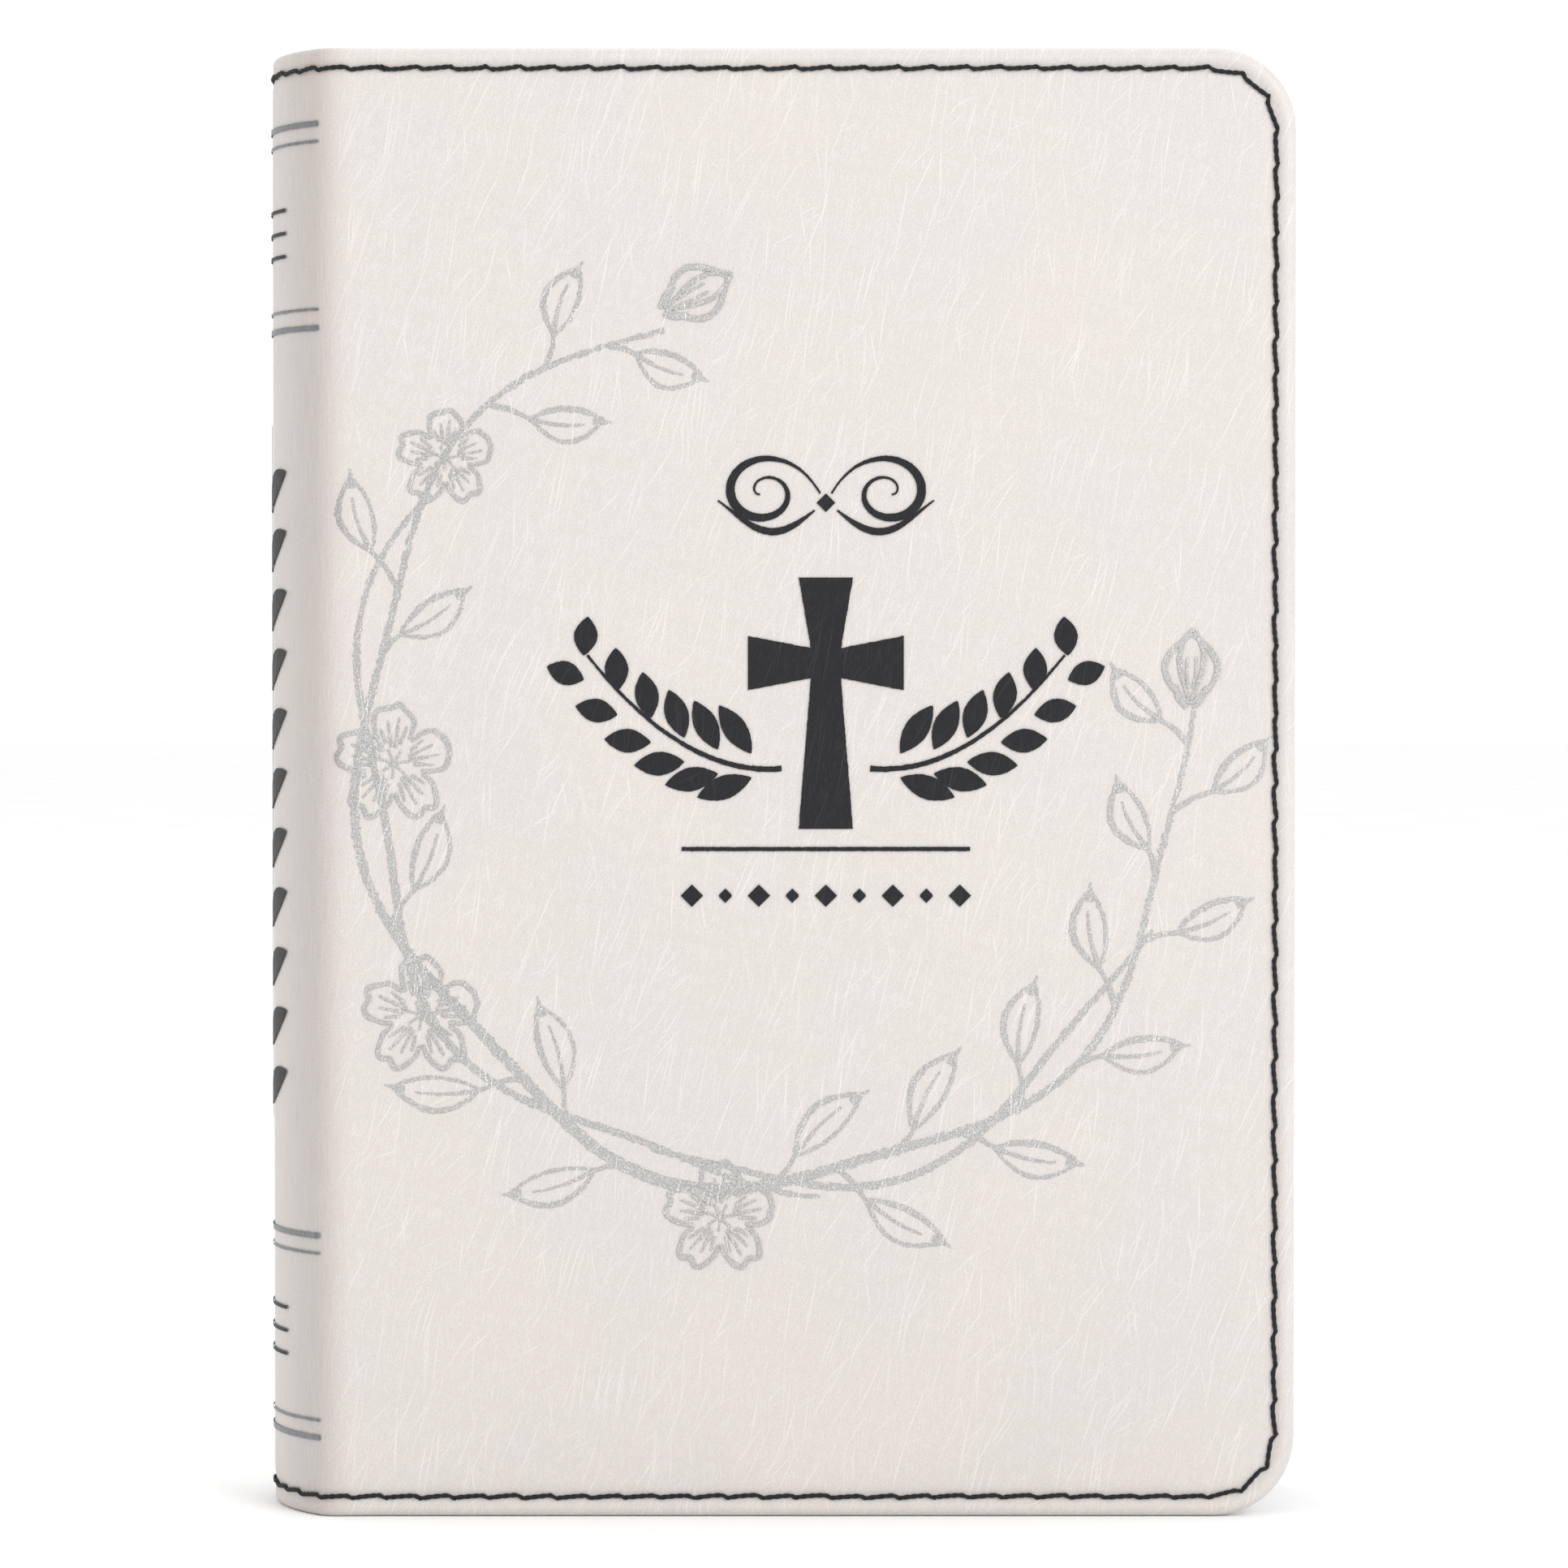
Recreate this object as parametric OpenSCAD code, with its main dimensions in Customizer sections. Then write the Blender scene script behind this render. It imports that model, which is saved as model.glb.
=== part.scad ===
// Compact gift Bible in a flexible stitched cover, standing closed on its tail edge.
// X runs from the spine (-) to the fore-edge (+), -Y is the front cover, +Z is the head.
// The origin is the middle of the footprint, on the surface that the book stands on.

/* [Cover] */
// Height of the cover, tail to head
cover_h = 158; // [130:1:200]
// Width of the closed book, spine to fore-edge
book_w = 111; // [100:1:130]
// Radius of the cover's two outer corners
corner_r = 8.7; // [5:0.1:12]
// Thickness of the outer leather
leather_t = 0.9; // [0.6:0.1:1]
// Thickness of the flexible board in each cover
board_t = 0.8; // [0.4:0.1:1]
// Thickness of the lining inside each cover
lining_t = 0.5; // [0.3:0.1:0.6]
// How far the rounded spine stands out from the covers' hinge lines
spine_bulge = 6.5; // [5.5:0.1:7]

/* [Text block] */
// Thickness of all sections together
block_t = 25; // [22:0.5:28]
// How far the cover stands past the pages on three sides
square_w = 3; // [2:0.1:4]
// Sagitta of the rounded back and the hollow fore-edge
rounding = 4; // [3:0.1:4.2]
// Radius of the pages' outer corners
page_corner_r = 7; // [4:0.1:9]
// Clearance between neighbouring sections
section_gap = 0.12; // [0.1:0.01:0.2]
// Width of the ribbon marker
ribbon_w = 10; // [6:0.5:12]

/* [Stitching] */
// Distance from one stitch to the next
stitch_pitch = 3.7; // [3:0.1:5]
// Thickness of the stitching thread
thread_d = 0.42; // [0.3:0.01:0.6]
// Distance from the cover's edge to the stitch line
stitch_inset = 2.2; // [1.8:0.1:3]

/* [Foil] */
// Thickness of the foil decoration
foil_t = 0.04; // [0.03:0.01:0.08]
// Half the width of the floral crescent
wreath_rx = 44.5; // [38:0.5:46]
// Half the height of the floral crescent
wreath_rz = 47.5; // [40:0.5:49]
// Height of the plain cross
cross_h = 27; // [20:1:30]

/* [Hidden] */
SECTIONS = 16;
HALF = SECTIONS / 2;
section_names = [for (k = [1:SECTIONS]) str("section_", k < 10 ? "0" : "", k)];

pearl = [0.90, 0.88, 0.86];
silver = [0.70, 0.71, 0.72];
ink = [0.08, 0.08, 0.08];
paper = [0.96, 0.95, 0.91];
fine = 96;

// Cover stack, measured outward from the text block
flyleaf_t = 0.25;
flyleaf_gap = 0.12;
inner_y = block_t / 2 + 0.55;
cover_t = leather_t + board_t + lining_t;
outer_y = inner_y + cover_t;
fore_x = book_w / 2;
hinge_x = -book_w / 2 + spine_bulge;
rigid_x = hinge_x + 6.5;
rim_w = 1.5;
fit = 0.05;

// The spine is an arc through both hinge lines
spine_r = (outer_y * outer_y + spine_bulge * spine_bulge) / (2 * spine_bulge);
spine_cx = -book_w / 2 + spine_r;
hinge_angle = asin(outer_y / spine_r);
spine_angle = 34;

// Text block
page_x = hinge_x + 0.8;
page_w = fore_x - square_w - page_x;
section_h = block_t / SECTIONS;
middle_gap = 0.4;
backing_r = (block_t * block_t / 4 + rounding * rounding) / (2 * rounding) + 0.5;
backing_cx = page_x - rounding - 0.5 + backing_r;
mull_t = 0.25;
paper_t = 0.25;

// Places of the decoration on the front cover
wreath_at = [-0.5, 83.5];
title_at = [5, 90];
// Where the crescent's two arms start, and where each one ends
arm_start = 264;
left_end = 106;
right_end = 364;
// Blossoms: angle round the crescent, distance outside it, radius
blossoms = [[141, 1, 5.2], [183, -3.5, 6.4], [216, 2.5, 6.4], [263, 4, 6]];

// How far section k is shifted towards the spine, so that the back is round
function shift(k) = -rounding * (1 - pow(1 - (2 * k - 1) / SECTIONS, 2));
// Front face of section k, and its thickness
function section_y(k) = -block_t / 2 + (k - 1) * section_h + (k == HALF + 1 ? middle_gap : section_gap) / 2;
function section_t(k) =
    section_h - (k == HALF || k == HALF + 1 ? middle_gap + section_gap : 2 * section_gap) / 2;

// A flat leaf-shaped outline of length l and half-width w that starts at the origin, along +X
function leaf(l, w, n = 12) = concat(
    [for (i = [0:n]) [l * i / n, w * pow(sin(180 * i / n), 0.85)]],
    [for (i = [n - 1:-1:1]) [l * i / n, -w * pow(sin(180 * i / n), 0.85)]]
);
// A point on the crescent at angle a, outside its middle line by d
function on_wreath(a, d = 0) = [(wreath_rx + d) * cos(a), (wreath_rz + d) * sin(a)];
// Is angle a clear of every blossom?
function is_clear(a) = min([for (b = blossoms) abs(a - b[0])]) > 9;

module panel(x0, x1, z0, z1, r) {
    union() {
        translate([x0, z0 + r])
            square([x1 - x0, z1 - z0 - 2 * r]);
        translate([x0, z0])
            square([x1 - x0 - r, z1 - z0]);
        translate([x1 - r, z0 + r])
            circle(r, $fn = fine);
        translate([x1 - r, z1 - r])
            circle(r, $fn = fine);
    }
}

// A plate whose outline is drawn in X and Z, from y to y + t
module plate(y, t) {
    translate([0, y + t, 0])
        rotate([90, 0, 0])
            linear_extrude(t)
                children();
}

// Part of an upright tube round the spine's axis: a0 to a1 degrees either side of -X
module spine_arc(cx, r, t, a0, a1, z0, z1) {
    translate([cx, 0, z0])
        rotate([0, 0, 180 + a0])
            rotate_extrude(angle = a1 - a0, $fn = fine)
                translate([r - t, 0])
                    square([t, z1 - z0]);
}

module cover_leather() {
    difference() {
        plate(-outer_y, cover_t)
            panel(rigid_x, fore_x, 0, cover_h, corner_r);
        plate(-outer_y + leather_t, cover_t)
            panel(rigid_x - 1, fore_x - rim_w, rim_w, cover_h - rim_w, corner_r - rim_w);
    }
}

module cover_board() {
    plate(-outer_y + leather_t, board_t)
        panel(rigid_x, fore_x - rim_w - fit, rim_w + fit, cover_h - rim_w - fit, corner_r - rim_w);
}

module cover_lining() {
    plate(-inner_y - lining_t, lining_t)
        panel(rigid_x, fore_x - rim_w - fit, rim_w + fit, cover_h - rim_w - fit, corner_r - rim_w);
}

module stitch(x, z, angle, length = stitch_pitch - 0.5) {
    translate([x, -outer_y - thread_d * 0.433, z])
        rotate([0, -angle, 0])
            rotate([0, 90, 0])
                cylinder(d = thread_d, h = length, center = true, $fn = 6);
}

module cover_stitching() {
    turn_r = corner_r - stitch_inset - 1;
    right = fore_x - stitch_inset;
    span = right - turn_r - rigid_x;
    rows = floor(span / stitch_pitch);
    rise = cover_h - 2 * (stitch_inset + turn_r);
    columns = round(rise / stitch_pitch);
    for (i = [0:rows - 1], z = [stitch_inset, cover_h - stitch_inset])
        stitch(right - turn_r - (i + 0.5) * stitch_pitch, z, 2);
    for (i = [0:columns - 1])
        stitch(right, stitch_inset + turn_r + (i + 0.5) * rise / columns, 92);
    for (top = [0, 1], i = [0:2]) {
        a = 15 + 30 * i;
        x = right - turn_r + turn_r * cos(a);
        z = turn_r * sin(a);
        stitch(x, top ? cover_h - stitch_inset - turn_r + z : stitch_inset + turn_r - z,
            top ? a + 90 : 90 - a, turn_r * 0.42);
    }
}

// Points of the spine's arc of radius r, from a0 to a1 degrees off -X towards the front
function arc_points(r, a0, a1, n = 6) = [
    for (i = [0:n]) let (a = a0 + (a1 - a0) * i / n) [spine_cx - r * cos(a), -r * sin(a)]
];

module hinge_leather() {
    inner_r = spine_r - leather_t;
    inner_angle = asin((outer_y - leather_t) / inner_r);
    end_x = rigid_x - 0.1;
    linear_extrude(cover_h)
        polygon(concat(
            arc_points(spine_r, spine_angle + 0.3, hinge_angle),
            [[end_x, -outer_y], [end_x, leather_t - outer_y]],
            arc_points(inner_r, inner_angle, spine_angle + 0.3)
        ));
}

module flyleaf() {
    plate(-block_t / 2 - flyleaf_gap - flyleaf_t, flyleaf_t)
        panel(page_x, page_x + page_w, square_w, cover_h - square_w, page_corner_r);
}

module foil_shape(at, angle, points) {
    translate(at)
        rotate(angle)
            polygon(points);
}

// A blossom of five petals
module blossom_foil(at, r) {
    foil_shape(at, 18, [for (a = [0:6:354]) r * (0.6 + 0.4 * abs(cos(2.5 * a))) * [cos(a), sin(a)]]);
}

// A stem that follows the crescent from angle a0 to a1 and waves about it
module stem_foil(a0, a1, w, wave, phase) {
    n = 40;
    at = [for (i = [0:n]) a0 + (a1 - a0) * i / n];
    polygon(concat(
        [for (a = at) on_wreath(a, wave * sin(6 * a + phase) + w / 2)],
        [for (i = [n:-1:0]) on_wreath(at[i], wave * sin(6 * at[i] + phase) - w / 2)]
    ));
}

// Leaves that lean forward on both sides of one arm, away from the crescent's start
module arm_leaves(a_end) {
    way = a_end > arm_start ? 1 : -1;
    count = floor(abs(a_end - arm_start) / 9);
    for (i = [1:count]) {
        a = arm_start + way * 9 * i;
        side = i % 2 == 0 ? 1 : -1;
        if (is_clear(a))
            foil_shape(
                on_wreath(a, side * 2.9),
                a + way * (90 - side * 40),
                leaf(10 - 2.5 * i / count, 1.8)
            );
    }
}

module on_front() {
    plate(-outer_y - foil_t, foil_t)
        children();
}

// The floral crescent, as far as the rigid part of the cover reaches
module front_wreath_foil() {
    color(silver)
        on_front()
            intersection() {
                translate([hinge_x + 3, 0])
                    square([book_w, cover_h]);
                translate(wreath_at) {
                    stem_foil(left_end, right_end, 1.2, 1.5, 0);
                    arm_leaves(left_end);
                    arm_leaves(right_end);
                    for (b = blossoms)
                        blossom_foil(on_wreath(b[0], b[1]), b[2]);
                    foil_shape(on_wreath(left_end - 1, 0.6), left_end - 78, leaf(8, 2.5));
                    foil_shape(on_wreath(right_end + 1, 0.3), right_end + 84, leaf(8, 2.5));
                }
            }
}

// A line of the title ornament that rolls into a coil, on one side of the middle
module coil(side) {
    n = 36;
    function reach(s) = 3.3 * pow(1 - s, 0.75) + 0.45;
    function on_coil(s, d) = [side * (6.6 + 1.15 * (reach(s) + d) * cos(118 - 500 * s)),
        20.3 + (reach(s) + d) * sin(118 - 500 * s)];
    polygon(concat(
        [for (i = [0:n]) on_coil(i / n, 0.3)],
        [for (i = [n:-1:0]) on_coil(i / n, -0.3)]
    ));
}

module cross_shape(h) {
    w = h * 0.12;
    arm = h * 0.31;
    flare = w * 0.9;
    up = h * 0.34;
    polygon([
        [-w / 2, w / 2], [-arm, flare], [-arm, -flare], [-w / 2, -w / 2],
        [-flare, up - h], [flare, up - h],
        [w / 2, -w / 2], [arm, -flare], [arm, flare], [w / 2, w / 2],
        [flare, up], [-flare, up]
    ]);
}

module front_ornament_foil() {
    color(ink)
        on_front()
            translate(title_at) {
                translate([0, 2])
                    cross_shape(cross_h);
                for (side = [-1, 1])
                    coil(side);
                for (side = [-1, 1], i = [0:5], row = [-1, 1])
                    foil_shape([side * (8 + 3.6 * i), -9 + 0.42 * i * i + 1.3 * row],
                        90 - side * (72 - 8 * i - 38 * row), leaf(6.2 - 0.4 * i, 1.25));
                translate([-15.5, -18.2])
                    square([31, 0.45]);
                for (i = [-4:4])
                    translate([i * 3.6, -23])
                        rotate(45)
                            square(i % 2 == 0 ? 1.7 : 1.1, center = true);
            }
}

module front_cover_leather() {
    color(pearl)
        cover_leather();
}

module front_board() {
    color("burlywood")
        cover_board();
}

module front_lining() {
    color("gainsboro")
        cover_lining();
}

module front_stitching() {
    color(ink)
        cover_stitching();
}

module front_hinge_leather() {
    color(pearl)
        hinge_leather();
}

module front_flyleaf() {
    color(paper)
        flyleaf();
}

module back_cover_leather() {
    color(pearl)
        mirror([0, 1, 0])
            cover_leather();
}

module back_board() {
    color("burlywood")
        mirror([0, 1, 0])
            cover_board();
}

module back_lining() {
    color("gainsboro")
        mirror([0, 1, 0])
            cover_lining();
}

module back_stitching() {
    color(ink)
        mirror([0, 1, 0])
            cover_stitching();
}

module back_hinge_leather() {
    color(pearl)
        mirror([0, 1, 0])
            hinge_leather();
}

module back_flyleaf() {
    color(paper)
        mirror([0, 1, 0])
            flyleaf();
}

module spine_leather() {
    color(pearl)
        spine_arc(spine_cx, spine_r, leather_t, -spine_angle, spine_angle, 0, cover_h);
}

module spine_stiffener() {
    color("burlywood")
        spine_arc(spine_cx, spine_r - leather_t - fit, 0.5, -29, 29, rim_w, cover_h - rim_w);
}

module spine_mull() {
    color("ivory")
        spine_arc(backing_cx, backing_r + mull_t, mull_t, -24, 24, 12, cover_h - 12);
}

module spine_paper() {
    color("tan")
        spine_arc(backing_cx, backing_r + mull_t + fit + paper_t, paper_t, -23, 23, 5, cover_h - 5);
}

module spine_stitching() {
    step = stitch_pitch * 57.3 / spine_r;
    reach = 3;
    color(ink)
        for (i = [-reach:reach], z = [stitch_inset, cover_h - stitch_inset])
            translate([spine_cx, 0, z])
                rotate([0, 0, 180 + i * step])
                    translate([spine_r + 0.28, 0, 0])
                        rotate([90, 0, 0])
                            cylinder(d = thread_d, h = stitch_pitch - 0.5, center = true, $fn = 6);
}

module spine_foil_bands() {
    color(silver)
        for (band = [
            [8.5, 0.6], [10.4, 0.3], [28.4, 0.3], [30.3, 0.6],
            [128, 0.6], [130, 0.3], [148, 0.3], [149.9, 0.6]
        ])
            spine_arc(spine_cx, spine_r + foil_t, foil_t, -spine_angle, spine_angle,
                band[0] - band[1] / 2, band[0] + band[1] / 2);
}

// A garland down the spine: an upright stem with pairs of leaves
module spine_garland() {
    intersection() {
        spine_arc(spine_cx, spine_r + foil_t, foil_t, -32, 32, 40, 124);
        translate([spine_cx, 0, 0])
            rotate([90, 0, -90])
                linear_extrude(spine_r + 1) {
                    translate([-0.3, 42])
                        square([0.6, 76]);
                    for (i = [0:10], side = [0, 1])
                        foil_shape(
                            [side == 0 ? 0.2 : -0.2, 43.5 + 6.5 * i],
                            side == 0 ? 24 : 156,
                            leaf(10.4, 1.5)
                        );
                }
    }
}

module spine_foil_ornament() {
    color(ink) {
        spine_garland();
        for (z = [17, 19.5, 22, 136, 138.5, 141])
            spine_arc(spine_cx, spine_r + foil_t, foil_t, -26.5, 26.5, z - 0.2, z + 0.2);
    }
}

// A rolled cloth band over the ends of the folds
module endband(z) {
    translate([backing_cx, 0, z])
        rotate([0, 0, 180 - 24])
            rotate_extrude(angle = 48, $fn = fine)
                translate([backing_r - 1.6, 0])
                    circle(0.85, $fn = 24);
}

module headband() {
    color("white")
        endband(cover_h - square_w + 0.95);
}

module tailband() {
    color("white")
        endband(square_w - 0.95);
}

module ribbon_marker() {
    color("white")
        translate([page_x + 2, -0.08, square_w + 10])
            cube([ribbon_w, 0.16, cover_h - 2 * square_w - 10]);
}

module section(k) {
    color(paper)
        plate(section_y(k), section_t(k))
            panel(
                page_x + shift(k),
                page_x + shift(k) + page_w,
                square_w,
                cover_h - square_w,
                page_corner_r
            );
}

front_cover_leather();
front_board();
front_lining();
front_stitching();
front_wreath_foil();
front_ornament_foil();
front_hinge_leather();
front_flyleaf();
back_cover_leather();
back_board();
back_lining();
back_stitching();
back_hinge_leather();
back_flyleaf();
spine_leather();
spine_stiffener();
spine_paper();
spine_mull();
spine_stitching();
spine_foil_bands();
spine_foil_ornament();
headband();
tailband();
ribbon_marker();
for (k = [1:SECTIONS])
    section(k);
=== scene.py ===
"""Looks of a compact Bible in a flexible stitched cover, closed and standing on its tail edge.

Lengths are in millimetres and become metres in piece(). The cover's outer surface is unrolled:
u runs round the spine from its centre line, positive on the front cover and negative on the back
cover, v is the height, and h stands off the surface. Foil, stitches and leather share that map.
"""

import itertools
import math

import bpy
import numpy as np
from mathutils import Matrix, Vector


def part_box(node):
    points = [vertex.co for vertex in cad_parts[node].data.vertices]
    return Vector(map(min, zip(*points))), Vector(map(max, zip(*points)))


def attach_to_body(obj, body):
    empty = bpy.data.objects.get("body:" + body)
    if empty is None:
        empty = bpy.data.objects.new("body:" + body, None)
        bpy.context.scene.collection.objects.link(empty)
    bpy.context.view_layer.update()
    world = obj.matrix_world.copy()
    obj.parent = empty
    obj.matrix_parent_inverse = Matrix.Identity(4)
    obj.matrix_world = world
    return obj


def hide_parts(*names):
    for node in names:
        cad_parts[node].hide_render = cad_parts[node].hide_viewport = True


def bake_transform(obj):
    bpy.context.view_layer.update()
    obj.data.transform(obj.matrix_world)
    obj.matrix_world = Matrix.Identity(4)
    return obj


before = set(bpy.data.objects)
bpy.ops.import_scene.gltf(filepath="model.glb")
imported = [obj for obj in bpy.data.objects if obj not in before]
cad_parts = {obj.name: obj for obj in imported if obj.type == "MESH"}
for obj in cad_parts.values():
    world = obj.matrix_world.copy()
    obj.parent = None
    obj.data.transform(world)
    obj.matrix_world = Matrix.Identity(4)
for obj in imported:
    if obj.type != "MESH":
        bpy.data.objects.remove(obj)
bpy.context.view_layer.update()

MM = 0.001

# Sizes that the CAD source also has
COVER_H = 158.0
FORE_X = 55.5
CORNER_R = 8.7
OUTER_Y = 15.25
INNER_Y = 13.05
COVER_T = 2.2
LEATHER_T = 0.9
RIGID_X = -42.5
SPINE_R = 21.139
SPINE_CX = -34.361
BLOCK_T = 25.0
SECTIONS = 16
SECTION_H = BLOCK_T / SECTIONS
SQUARE_W = 3.0
ROUNDING = 4.0
PAGE_X = -48.2
PAGE_W = 100.7
PAGE_R = 7.0
BACKING_R = 22.03
BACKING_CX = -30.67
STITCH_PITCH = 3.7
STITCH_INSET = 2.2

# The shoulder between the rounded spine and the flat cover
SHOULDER_R = 3.0
SPINE_EDGE_T = 1.45
SPINE_HALF_ANGLE = 34
SPINE_END = math.radians(SPINE_HALF_ANGLE) * SPINE_R

rng = np.random.default_rng(11)


def smooth(t):
    t = np.clip(t, 0, 1)
    return t * t * (3 - 2 * t)


# -------------------------------- meshes


def piece(name, points, faces, materials, uv, slots=None):
    """A smooth mesh object. uv is one pair for each point, and slots one material index for each face."""
    mesh = bpy.data.meshes.new(name)
    mesh.from_pydata((np.asarray(points, float) * MM).tolist(), [], faces)
    for m in materials:
        mesh.materials.append(m)
    if slots is not None:
        mesh.polygons.foreach_set("material_index", np.asarray(slots, np.int32))
    mesh.polygons.foreach_set("use_smooth", np.ones(len(mesh.polygons), bool))
    corner = np.zeros(len(mesh.loops), np.int32)
    mesh.loops.foreach_get("vertex_index", corner)
    layer = mesh.uv_layers.new(name="surface")
    layer.data.foreach_set("uv", np.asarray(uv, np.float32)[corner].ravel())
    mesh.update()
    obj = bpy.data.objects.new(name, mesh)
    bpy.context.scene.collection.objects.link(obj)
    return obj


def grid(rows, columns, closed=False, flip=False):
    """Quads of rows x columns points, row by row. closed joins the last column to the first."""
    faces = []
    for i in range(rows - 1):
        for j in range(columns if closed else columns - 1):
            k = (j + 1) % columns
            face = (i * columns + j, i * columns + k, (i + 1) * columns + k, (i + 1) * columns + j)
            faces.append(face[::-1] if flip else face)
    return faces


class Build:
    """Collects points, coordinates and faces of one mesh."""

    def __init__(self):
        self.points, self.uv, self.faces = [], [], []
        self.count = 0

    def add(self, points, faces, uv=None):
        self.points.append(points)
        self.uv.append(points[:, :2] if uv is None else uv)
        self.faces += [tuple(self.count + i for i in f) for f in faces]
        self.count += len(points)

    def arrays(self):
        return np.vstack(self.points), np.vstack(self.uv)


# -------------------------------- the cover's surface


def outer_profile():
    """Rows of distance round the spine, x, depth in front of the middle, and the outward normal."""
    tangent = math.asin((OUTER_Y - SHOULDER_R) / (SPINE_R - SHOULDER_R))
    a = np.linspace(0, tangent, 90)
    arc = np.stack([
        SPINE_R * a, SPINE_CX - SPINE_R * np.cos(a), SPINE_R * np.sin(a), -np.cos(a), np.sin(a),
    ], 1)
    centre_x = SPINE_CX - (SPINE_R - SHOULDER_R) * math.cos(tangent)
    b = np.linspace(tangent, math.pi / 2, 24)[1:]
    turn = np.stack([
        arc[-1, 0] + SHOULDER_R * (b - tangent),
        centre_x - SHOULDER_R * np.cos(b),
        OUTER_Y - SHOULDER_R + SHOULDER_R * np.sin(b),
        -np.cos(b),
        np.sin(b),
    ], 1)
    flat = [[turn[-1, 0] + RIGID_X - centre_x, RIGID_X, OUTER_Y, 0, 1]]
    return np.vstack([arc, turn, flat])


PROFILE = outer_profile()
COVER_U = PROFILE[-1, 0]
STRIP_U = (COVER_U - SPINE_END) / 3
# Where the pieces of the cover meet: spine, three bending strips, rigid cover
ZONE_U = [0, SPINE_END, SPINE_END + STRIP_U, SPINE_END + 2 * STRIP_U, COVER_U, 1000]


def edge_distance(x, v):
    """Distance inside the cover's outline, which has rounded corners at the fore-edge only."""
    qx = np.asarray(x, float) - (FORE_X - CORNER_R)
    qv = np.abs(np.asarray(v, float) - COVER_H / 2) - (COVER_H / 2 - CORNER_R)
    return CORNER_R - np.hypot(np.maximum(qx, 0), np.maximum(qv, 0)) - np.minimum(np.maximum(qx, qv), 0)


# Depth of the sewn channel at distances from the edge
CHANNEL_D = [0, 1.1, 1.5, 1.9, 2.2, 2.5, 2.9, 3.5, 4.6, 7]
CHANNEL_H = [0, 0, -.05, -.15, -.19, -.15, -.05, .03, .06, .06]
SWELL_H = 0.16


def relief(x, v):
    """The sewn channel near the edge, and the slight swell of the cover inside it."""
    d = edge_distance(x, v)
    swell = SWELL_H * smooth((np.asarray(x) - RIGID_X) / 24) * smooth(d / 22)
    return np.interp(d, CHANNEL_D, CHANNEL_H) + swell


def surface(u, v, h=0.0):
    """Points of the cover's outer surface, standing off it by h."""
    u, v, h = np.broadcast_arrays(np.asarray(u, float), np.asarray(v, float), np.asarray(h, float))
    side = np.where(u < 0, -1.0, 1.0)
    s = np.abs(u)
    past = np.maximum(s - COVER_U, 0)
    x, depth, nx, nd = (np.interp(s, PROFILE[:, 0], PROFILE[:, k]) for k in (1, 2, 3, 4))
    x = x + past
    h = h + relief(x, v)
    return np.stack([x + nx * h, -side * (depth + nd * h), v], -1)


def cover_u(x):
    """u of a place on the flat cover."""
    return COVER_U + np.asarray(x, float) - RIGID_X


BODIES = {
    1: ["spine", "section_01", "front_flyleaf", "front_cover"],
    -1: ["spine", "section_16", "back_flyleaf", "back_cover"],
}
SIDE_NAME = {1: "front", -1: "back"}


def attach(obj, zone, side):
    """Rides the spine or a cover. A piece over one joint between them is left where it lies, with its
    transform baked in.
    """
    if zone == 0:
        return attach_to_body(obj, "spine")
    if zone == 4:
        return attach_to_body(obj, BODIES[side][3])
    ends = surface(side * np.array(ZONE_U[zone:zone + 2]), COVER_H / 2, -LEATHER_T / 2) * MM
    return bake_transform(obj)


def lay(name, build, material):
    """Lays a mesh that is flat in u and v on the cover, in one piece for each zone of the cover that it lies
    on: the spine, a hinge strip or a cover.
    """
    flat, uv = build.arrays()
    centre = np.array([flat[list(f), 0].mean() for f in build.faces])
    zone = np.digitize(np.abs(centre), ZONE_U[1:5])
    side = np.where(centre < 0, -1, 1)
    side[zone == 0] = 1
    world = surface(flat[:, 0], flat[:, 1], flat[:, 2])
    made = {}
    for z, s in sorted({*zip(zone.tolist(), side.tolist())}):
        chosen = [build.faces[i] for i in np.nonzero((zone == z) & (side == s))[0]]
        used = sorted({i for f in chosen for i in f})
        place = {i: k for k, i in enumerate(used)}
        part = "spine" if z == 0 else SIDE_NAME[s] + (".cover" if z == 4 else f".hinge{z}")
        faces = [tuple(place[i] for i in f) for f in chosen]
        obj = piece(f"{name}.{part}", world[used], faces, [material], uv[used])
        attach(obj, z, s)
        made[(z, s)] = obj
    return made


# -------------------------------- materials

# Fibre layers: lean in degrees, cells per mm across and along the fibres, share of cells left empty,
# strength. The last four are short fibres.
FIBRES = [
    (3, 4.2, .10, .86, .9), (10, 4.4, .085, .84, 1), (17, 4.2, .10, .86, 1), (24, 4.4, .09, .85, 1),
    (33, 4.2, .12, .87, .9), (44, 4.2, .16, .88, .85), (-8, 4.2, .14, .88, .8), (62, 4.2, .25, .90, .7),
    (7, 6.5, .38, .70, .6), (20, 7.0, .6, .70, .55), (33, 7.5, 1.0, .70, .45), (-20, 7.5, 1.0, .74, .4),
]


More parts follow.
